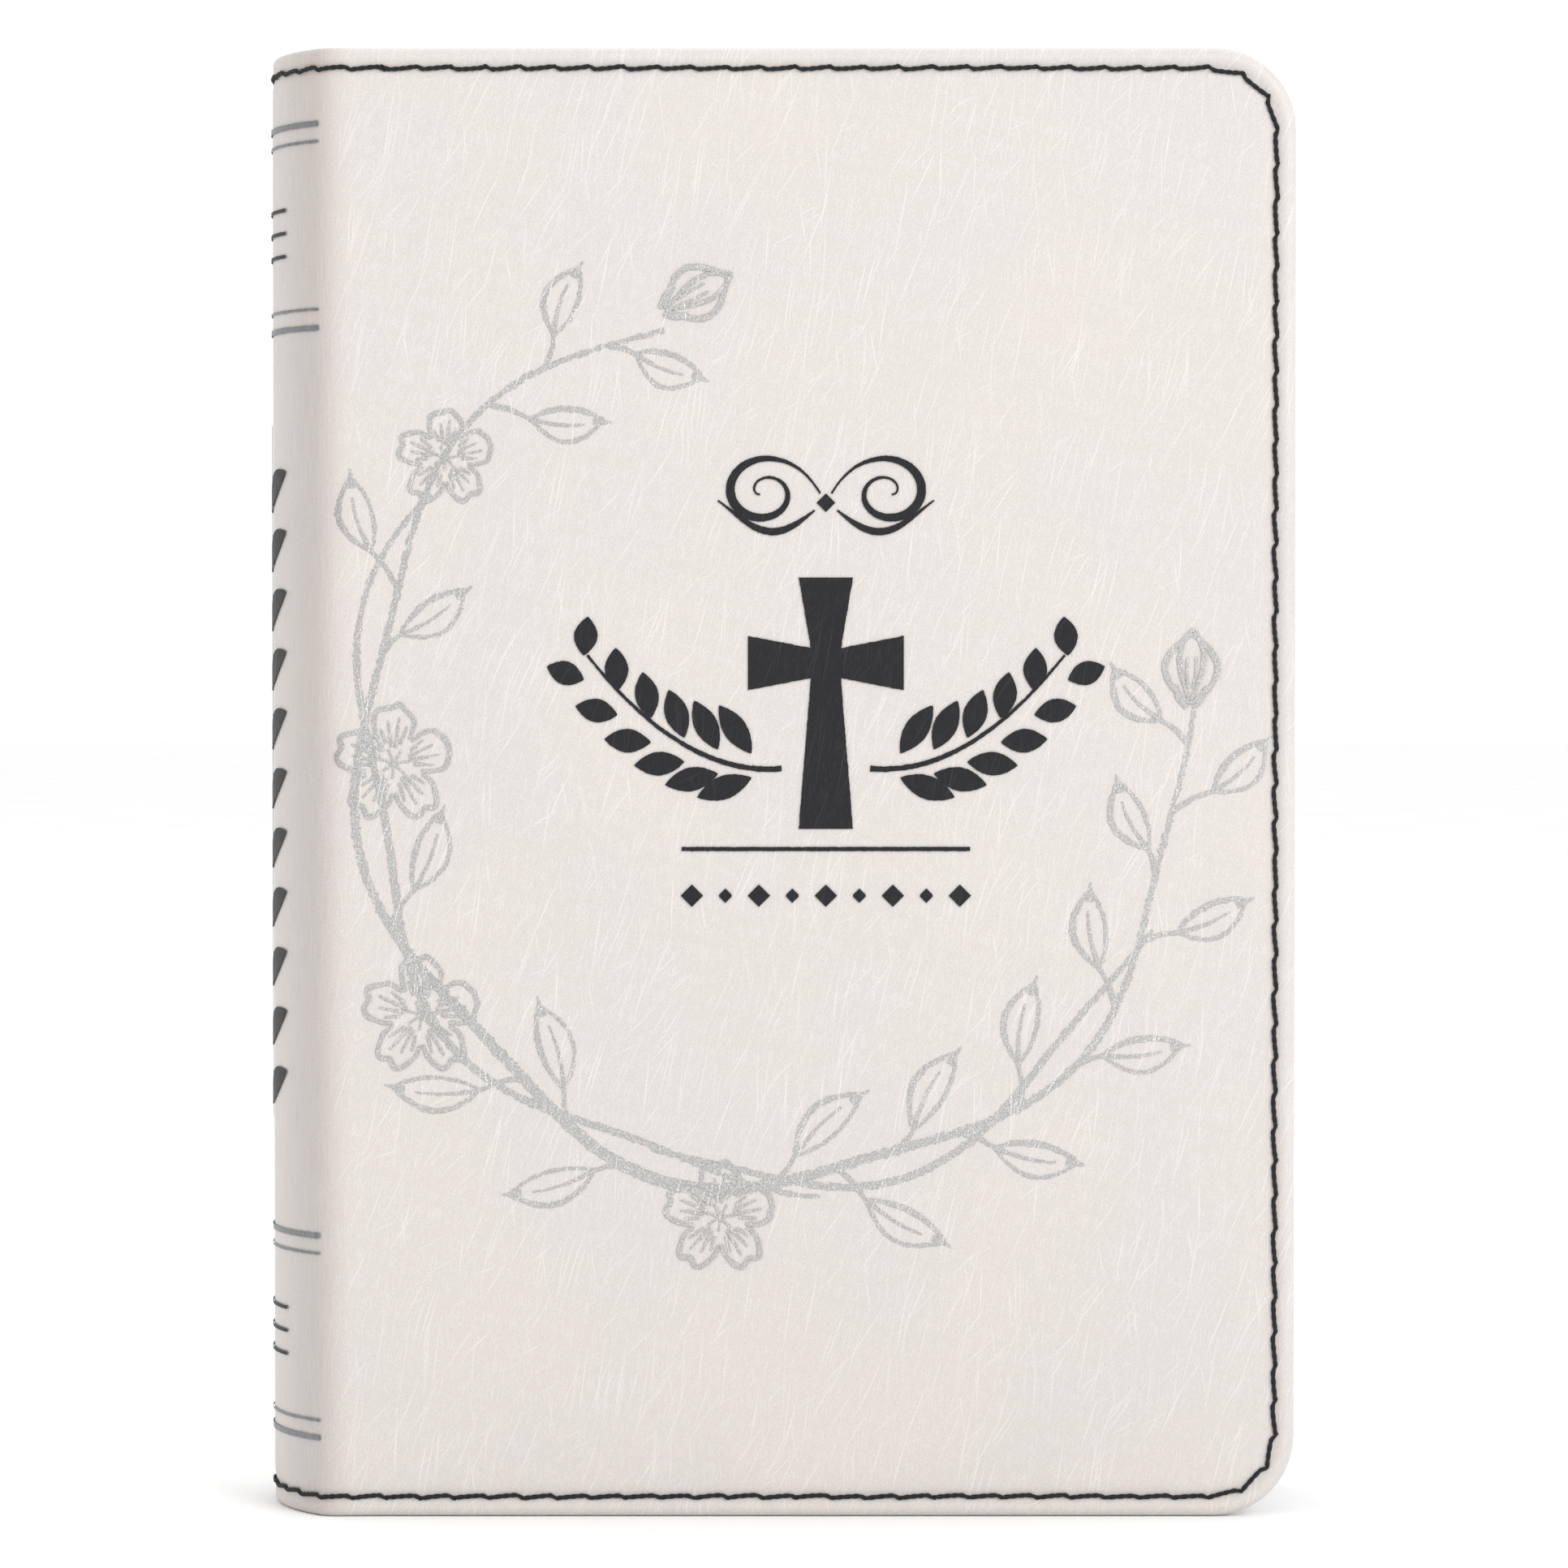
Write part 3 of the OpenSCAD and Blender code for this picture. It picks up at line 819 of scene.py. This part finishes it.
def bud(build, at, heading):
    """A closed bud of three petals with a small cup."""
    length, half = 8.0, 2.5
    for side in (-1, 1):
        outer = leaf_edge(length * .93, half, side * .35, side)
        stroke(build, at + turned(outer, heading), taper(.6, .34))
        share = np.linspace(.05, 1, 20)
        inner = [(length * s, side * half * .52 * math.sin(math.pi * s ** 1.3) ** .8) for s in share]
        stroke(build, at + turned(inner, heading), taper(.5, .3))
        vein = [(length * s, side * half * .2 * math.sin(math.pi * s)) for s in np.linspace(.2, .62, 8)]
        stroke(build, at + turned(vein, heading), .26)
        share = np.linspace(0, 1, 9)
        cup = [(-.5 + 2.4 * s, side * (.35 + 1.25 * math.sin(math.pi * .5 * s))) for s in share]
        stroke(build, at + turned(cup, heading), taper(.7, .4))


def wave(a, size=1.5, phase=0.0):
    """How far a branch sways off the crescent's middle line."""
    return size * np.sin(np.radians(6 * a + phase))


def wreath_foil():
    build = Build()
    a = np.linspace(ARM_START, LEFT_END, 150)
    b = np.linspace(ARM_START, RIGHT_END, 110)
    for arm, thick in ((a, 1.4), (b, 1.2)):
        stroke(build, on_wreath(arm, wave(arm)), lambda s: thick - (thick - .5) * s ** .8, .08)
    for start, end, size, phase in ((276, 146, -1.9, 25), (252, 335, -1.7, -20)):
        arm = np.linspace(start, end, 130)
        stroke(build, on_wreath(arm, wave(arm, size, phase)), taper(.82, .34, .5), .065)
    for end in (LEFT_END, RIGHT_END):
        way = 1 if end > ARM_START else -1
        count = int(abs(end - ARM_START) // 9)
        for i in range(1, count + 1):
            angle = ARM_START + way * 9 * i
            side = 1 if i % 2 == 0 else -1
            if min(abs(angle - q[0]) for q in BLOSSOMS) <= 9:
                continue
            root, base = angle - way * 3.2, on_wreath(angle, side * 2.9)
            stem = on_wreath(root, float(wave(root)))
            middle = (stem + base) / 2 + (on_wreath(angle) - on_wreath(root)) * .12
            stroke(build, [stem, middle, base], lambda s: .64 - .26 * s)
            heading = angle + way * (90 - side * 40)
            hollow_leaf(build, base, heading, 10 - 2.5 * i / count, 1.8, bend=-way * side * .6)
    for angle, offset, r in BLOSSOMS:
        at = on_wreath(angle, offset)
        blossom(build, at, r)
        stem = on_wreath(angle - 4, float(wave(angle - 4)))
        if abs(offset) > 2:
            stroke(build, [stem, (stem + at) / 2 + [.3, .2], at + (stem - at) * .42], .75)
    bud(build, on_wreath(LEFT_END - 1, .6), LEFT_END - 78)
    bud(build, on_wreath(RIGHT_END + 1, .3), RIGHT_END + 84)
    made = lay("wreath_foil", build, silver)
    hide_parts("front_wreath_foil")


def volute(build, side):
    """A pen flourish that rolls into a small coil."""
    centre = np.array([6.6, 20.3])
    coil = []
    for s in np.linspace(0, 1, 60):
        radius = 3.3 * (1 - s) ** .75 + .45
        a = math.radians(112 - 500 * s)
        coil.append(centre + np.array([radius * math.cos(a) * 1.15, radius * math.sin(a)]))
    start = np.array([.6, 20.2])
    way = coil[1] - coil[0]
    leave = coil[0] - 2.6 * way / np.hypot(*way)
    share = np.linspace(0, 1, 16)[:-1]
    lead = [(1 - t) ** 2 * start + 2 * t * (1 - t) * leave + t * t * coil[0] for t in share]
    line = TITLE_AT + np.array([side, 1]) * np.array(lead + coil)
    stroke(build, line, lambda s: .22 + .75 * np.sin(np.pi * s) ** 2, .012, .16)
    s = np.linspace(0, 1, 40)
    tail = np.stack([side * (1.2 + 10.4 * s), 18.4 - 2.3 * np.sin(np.pi * 1.15 * s)], 1)
    stroke(build, TITLE_AT + tail, lambda s: .2 + .6 * np.sin(np.pi * s ** .8) ** 1.5, .012, .16)


def lozenge(build, at, half):
    line = [at - [0, half], at + [0, half]]
    stroke(build, line, lambda s: 2 * half * (1 - np.abs(2 * s - 1)) + .02, 0.0, half / 4)


def ornament_foil():
    build = Build()
    tall = 27.0
    bar, arm, flare, up = .12 * tall, .31 * tall, .108 * tall, .34 * tall
    centre = TITLE_AT + [0, 2]

    def bar_width(start, end):
        """Even near the crossing and flared towards each end, as the CAD outline is."""
        def width(s):
            place = s * (end - start) + start
            reach = np.where(place < 0, -start, end)
            return bar + (2 * flare - bar) * np.clip((np.abs(place) - bar / 2) / (reach - bar / 2), 0, 1)
        return width

    stroke(build, centre + np.array([(0, up - tall), (0, up)]), bar_width(up - tall, up), .02, .25)
    stroke(build, centre + np.array([(-arm, 0), (arm, 0)]), bar_width(-arm, arm), .02, .25)
    for side in (-1, 1):
        volute(build, side)
        i = np.linspace(-.4, 5.4, 30)
        branch = np.stack([side * (6.2 + 3.6 * i), -9.4 + .42 * i * i], 1)
        stroke(build, TITLE_AT + branch, lambda s: .62 - .35 * s, .02)
        for i in range(6):
            for row in (-1, 1):
                at = TITLE_AT + [side * (8 + 3.6 * i), -9 + .42 * i * i + 1.3 * row]
                heading = 90 - side * (72 - 8 * i - 38 * row)
                leaf = at + turned([(0, 0), (6.2 - .4 * i, 0)], heading)
                stroke(build, leaf, lambda s: 2.5 * np.sin(np.pi * s) ** .85 + .04, .015, .2)
    lozenge(build, TITLE_AT + [0, 19.2], 1.0)
    stroke(build, TITLE_AT + np.array([(-15.5, -17.98), (15.5, -17.98)]), .45, .015)
    for i in range(-4, 5):
        half = (1.7 if i % 2 == 0 else 1.1) / math.sqrt(2)
        lozenge(build, TITLE_AT + [3.6 * i, -23], half)
    made = lay("title_ornament", build, ink)
    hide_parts("front_ornament_foil")


# Height and width of each silver line across the spine
BANDS = [(8.5, .6), (10.4, .3), (28.4, .3), (30.3, .6), (128, .6), (130, .3), (148, .3), (149.9, .6)]
BAND_HALF = 16.4


def spine_foil():
    bands = Build()
    for z, width in BANDS:
        stroke(bands, [(-BAND_HALF, z), (BAND_HALF, z)], width, .02, .25, in_x=False)
    made = lay("spine_bands", bands, silver)
    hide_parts("spine_foil_bands")

    marks = Build()
    stroke(marks, [(0, 42), (0, 118)], .6, .015, .3, in_x=False)
    lean = math.radians(24)
    reach = 10.4 * np.array([math.cos(lean), math.sin(lean)])
    t = np.linspace(0, 1, 24)
    for i in range(11):
        rise = 43.5 + 6.5 * i + reach[1] * t + .5 * np.sin(np.pi * t)
        for side in (-1, 1):
            leaf = np.stack([side * (.2 + reach[0] * t), rise], 1)
            stroke(marks, leaf, lambda s: 3.0 * np.sin(np.pi * s) ** .85 + .05, .015, .2, in_x=False)
    for z in (17, 19.5, 22, 136, 138.5, 141):
        stroke(marks, [(-9.8, z), (9.8, z)], .4, .015, .2, in_x=False)
    made = lay("spine_ornament", marks, ink)
    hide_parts("spine_foil_ornament")


wreath_foil()
ornament_foil()
spine_foil()

# -------------------------------- linings, leaves and sections


def leaf_stack(name, levels, x0, fold, edges, body, materials, node):
    """A stack of leaves from x0 to its fore-edge. levels are the places across its thickness, fold and
    edges its inset at each one at the fold and at the three cut sides. The materials are those of the
    faces, the cut edges and the fold."""
    low, high = SQUARE_W, COVER_H - SQUARE_W
    rise = np.linspace(low + PAGE_R, high - PAGE_R, 30)
    loops, coords = [], []
    for y, f, e in zip(levels, fold, edges):
        line = outline(e, PAGE_R, x0 + f, x0 + PAGE_W, low, high, 22, 8, rise)
        loops.append(np.stack([line[:, 0], np.full(len(line), y), line[:, 1]], 1))
        coords.append(np.stack([line[:, 0] - x0 + PAGE_X, line[:, 1]], 1))
    size = len(loops[0])
    faces = grid(len(levels), size, closed=True)
    slots = [1 if f % size < size - 1 else 2 for f in range(len(faces))] + [0, 0]
    points = np.vstack([*loops, loops[0], loops[-1]])
    edge_uv = np.stack([np.tile(np.arange(size) * 2.0, len(levels)), np.repeat(levels, size)], 1)
    ring = np.arange(size) + len(levels) * size
    faces += [tuple(ring[::-1]), tuple(ring + size)]
    obj = piece(name, points, faces, materials, np.vstack([edge_uv, coords[0], coords[-1]]), slots)
    for f in obj.data.polygons[len(faces) - 2:]:
        f.use_smooth = False
    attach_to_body(obj, body)
    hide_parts(node)
    return obj


def fold_round(levels, depth):
    """Inset at each level that rounds the fold off, by depth at the two faces."""
    middle, half = (levels[0] + levels[-1]) / 2, (levels[-1] - levels[0]) / 2
    return depth * (1 - np.sqrt(np.maximum(1 - ((levels - middle) / half) ** 2, 0)))


SECTION_GAP, RIBBON_GAP = 0.12, 0.4
FOLDED_LEAVES = 9
for k in range(1, SECTIONS + 1):
    gaps = [RIBBON_GAP if k == 9 else SECTION_GAP, RIBBON_GAP if k == 8 else SECTION_GAP]
    y0 = -BLOCK_T / 2 + (k - 1) * SECTION_H + gaps[0] / 2
    y1 = -BLOCK_T / 2 + k * SECTION_H - gaps[1] / 2
    shift = -ROUNDING * (1 - (1 - (2 * k - 1) / SECTIONS) ** 2)
    # Two levels for the edge of each leaf, which stands out, and one for each groove beside it
    thin = (y1 - y0) / FOLDED_LEAVES
    levels, edges = [y0], [.10]
    for i, stand in enumerate(rng.uniform(0, .07, FOLDED_LEAVES)):
        levels += [y0 + (i + .22) * thin, y0 + (i + .78) * thin, y0 + (i + 1) * thin]
        edges += [stand, stand, .10]
    levels = np.array(levels)
    leaf_stack(f"leaves_{k:02d}", levels, PAGE_X + shift, fold_round(levels, .6), edges, f"section_{k:02d}",
               [page_paper, gilt, endpaper], f"section_{k:02d}")

FLYLEAF_T = 0.25
for side in (1, -1):
    near = -side * (BLOCK_T / 2 + SECTION_GAP)
    levels = np.sort(near - side * np.array([0, .06, FLYLEAF_T - .06, FLYLEAF_T]))
    round_in = np.array([.07, 0, 0, .07])
    node = f"{SIDE_NAME[side]}_flyleaf"
    leaf_stack(f"{node}_sheet", levels, PAGE_X, round_in, round_in, node, [endpaper] * 3, node)


LINING_INSET = 1.6
# Inset and distance from the book's middle plane, from the pasted side to the open face
LINING_LEVELS = [
    (0, INNER_Y + .45), (0, INNER_Y + .09), (.07, INNER_Y + .04), (.22, INNER_Y + .01), (.6, INNER_Y)]


def lining(side):
    """The pasted lining inside a cover: a thin panel that sinks towards its edges."""
    low, high, r = LINING_INSET, COVER_H - LINING_INSET, CORNER_R - LINING_INSET
    rise = np.linspace(low + r, high - r, 30)
    loops = []
    for d, depth in LINING_LEVELS:
        line = outline(d, r, RIGID_X, FORE_X - LINING_INSET, low, high, 22, 8, rise)
        loops.append(np.stack([line[:, 0], np.full(len(line), -side * depth), line[:, 1]], 1))
    size = len(loops[0])
    points = np.vstack(loops)
    faces = grid(len(loops), size, flip=side > 0)
    face = np.arange(size) + (len(loops) - 1) * size
    faces.append(tuple(face[::-1] if side > 0 else face))
    obj = piece(f"{SIDE_NAME[side]}_pastedown", points, faces, [lining_paper], points[:, [0, 2]])
    obj.data.polygons[len(faces) - 1].use_smooth = False
    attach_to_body(obj, BODIES[side][3])
    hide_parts(f"{SIDE_NAME[side]}_lining")


for side in (1, -1):
    lining(side)

# -------------------------------- spine lining, endbands and ribbon


def sheet_faces(rows, columns):
    """Faces of a thin closed sheet: an outer and an inner grid of rows x columns points, and its rim."""
    count = rows * columns
    rim = (list(range(columns)) + [i * columns + columns - 1 for i in range(1, rows)]
           + [(rows - 1) * columns + i for i in range(columns - 2, -1, -1)]
           + [i * columns for i in range(rows - 2, 0, -1)])
    outer = grid(rows, columns)
    inner = [tuple(count + i for i in f[::-1]) for f in outer]
    return outer + inner + [(i, j, count + j, count + i) for i, j in zip(rim, rim[-1:] + rim[:-1])]


def arc_sheet(name, radius, half_angle, margin, material, node, thickness, ripple):
    """A thin sheet glued round the backs of the sections, with a margin at head and tail."""
    rows, columns = 61, 41
    a = np.radians(np.linspace(-half_angle, half_angle, columns))
    aa, zz = np.meshgrid(a, np.linspace(margin, COVER_H - margin, rows))
    points = []
    for skin in (thickness / 2, -thickness / 2):
        r = radius + skin + ripple * np.sin(aa * 60) * np.sin(zz * 1.3)
        points.append(np.stack([BACKING_CX - r * np.cos(aa), -r * np.sin(aa), zz], -1).reshape(-1, 3))
    uv = np.tile(np.stack([aa * radius, zz], -1).reshape(-1, 2), (2, 1))
    obj = piece(name, np.vstack(points), sheet_faces(rows, columns), [material], uv)
    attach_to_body(obj, "spine")
    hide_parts(node)
    return obj


MULL_R, MULL_HALF_ANGLE, MULL_MARGIN = BACKING_R + .125, 24, 12
mull = arc_sheet(
    "mull_gauze", MULL_R, MULL_HALF_ANGLE, MULL_MARGIN, gauze, "spine_mull", .2, .012)
arc_sheet("spine_kraft", BACKING_R + .425, 23, 5, kraft, "spine_paper", .22, .01)


def endband(name, z, node):
    """Silk wound over a core: each turn of thread stands out a little."""
    steps, sides = 160, 14
    a = np.radians(np.linspace(-24, 24, steps))
    ring = np.linspace(0, 2 * math.pi, sides, endpoint=False)
    path_r = BACKING_R - 1.6
    wound = .82 + .05 * np.abs(np.sin(a * path_r * math.pi * 1.05))
    wound[[0, -1]] = .3
    r = path_r + wound[:, None] * np.cos(ring)
    points = np.stack([
        BACKING_CX - r * np.cos(a)[:, None], -r * np.sin(a)[:, None], z + wound[:, None] * np.sin(ring),
    ], -1)
    uv = np.stack([np.repeat(a * path_r, sides), np.tile(ring, steps)], 1)
    end = np.arange(sides)
    faces = grid(steps, sides, closed=True) + [tuple(end[::-1]), tuple(end + (steps - 1) * sides)]
    obj = piece(name, points.reshape(-1, 3), faces, [band_cloth], uv)
    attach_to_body(obj, "spine")
    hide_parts(node)
    return obj


endband("headband_wound", COVER_H - SQUARE_W + .95, "headband")
endband("tailband_wound", SQUARE_W - .95, "tailband")

RIBBON_W, RIBBON_L = 10.0, 142.0
RIBBON_ROWS, RIBBON_COLUMNS = 90, 9
RIBBON_HALF_T = 0.035

ribbon_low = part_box("ribbon_marker")[0]
across, up = np.meshgrid(np.linspace(0, RIBBON_W, RIBBON_COLUMNS), np.linspace(0, RIBBON_L, RIBBON_ROWS))
ripple = .035 * np.sin(up / RIBBON_L * 19) * np.cos(across / RIBBON_W * 2.4)
x, z = ribbon_low.x / MM + across, ribbon_low.z / MM + up
skins = [np.stack([x, skin + ripple, z], -1).reshape(-1, 3) for skin in (-RIBBON_HALF_T, RIBBON_HALF_T)]
ribbon_uv = np.tile(np.stack([across, up], -1).reshape(-1, 2), (2, 1))
ribbon = piece(
    "ribbon_satin_marker", np.vstack(skins), sheet_faces(RIBBON_ROWS, RIBBON_COLUMNS), [satin], ribbon_uv)
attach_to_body(ribbon, "section_09")
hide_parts("ribbon_marker")

for name in ("front_board", "back_board", "spine_stiffener"):
    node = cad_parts[name]
    node.data.materials.clear()
    node.data.materials.append(card)

# -------------------------------- floor, light and camera

floor_material = Nodes("pale_floor")
speckle = floor_material.noise(floor_material.mapped((.02, .02)), detail=2)
floor_material.put("Base Color", floor_material.ramp(speckle, [(.3, (.93, .93, .93)), (.7, (.95, .95, .95))]))
floor_material.put("Roughness", 0.9)
floor_material.put("Specular IOR Level", 0.1)
FLOOR_HALF = 6000.0
xs, ys = np.meshgrid(*[np.linspace(-FLOOR_HALF, FLOOR_HALF, 9)] * 2)
floor_points = np.stack([xs, ys, np.full(xs.shape, -.02)], -1).reshape(-1, 3)
floor = piece("floor", floor_points, grid(9, 9), [floor_material.material], floor_points[:, :2])

world = bpy.data.worlds.new("studio")
world.use_nodes = True
background = world.node_tree.nodes["Background"]
background.inputs["Color"].default_value = (1, 1, 1, 1)
background.inputs["Strength"].default_value = 1.05
bpy.context.scene.world = world


def soft_light(name, place, aim, size, power):
    """An area lamp. Lengths are in metres here and for the camera."""
    data = bpy.data.lights.new(name, "AREA")
    data.shape = "RECTANGLE"
    data.size, data.size_y = size
    data.energy = power
    lamp = bpy.data.objects.new(name, data)
    bpy.context.scene.collection.objects.link(lamp)
    lamp.location = place
    toward = np.array(aim) - np.array(place)
    yaw = math.atan2(toward[1], toward[0]) - math.pi / 2
    pitch = math.atan2(toward[2], math.hypot(toward[0], toward[1]))
    lamp.rotation_euler = (math.pi / 2 + pitch, 0, yaw)


soft_light("key", (0.75, -1.0, 0.75), (0, 0, 0.08), (0.6, 0.6), 7.0)
soft_light("top", (0.1, 0.5, 1.3), (0, 0, 0.08), (1.0, 0.8), 3.0)

DISTANCE = 0.640
ELEVATION = math.radians(1.2)
AIM = (0.00050, -0.01525, 0.0790)
lens = bpy.data.cameras.new("camera")
lens.sensor_width = 36
lens.lens = 136.7
lens.clip_start, lens.clip_end = 0.01, 50
camera = bpy.data.objects.new("camera", lens)
bpy.context.scene.collection.objects.link(camera)
camera.location = (
    AIM[0], AIM[1] - DISTANCE * math.cos(ELEVATION), AIM[2] + DISTANCE * math.sin(ELEVATION))
camera.rotation_euler = (math.pi / 2 - ELEVATION, 0, 0)
bpy.context.scene.camera = camera
bpy.context.scene.view_settings.view_transform = "Standard"
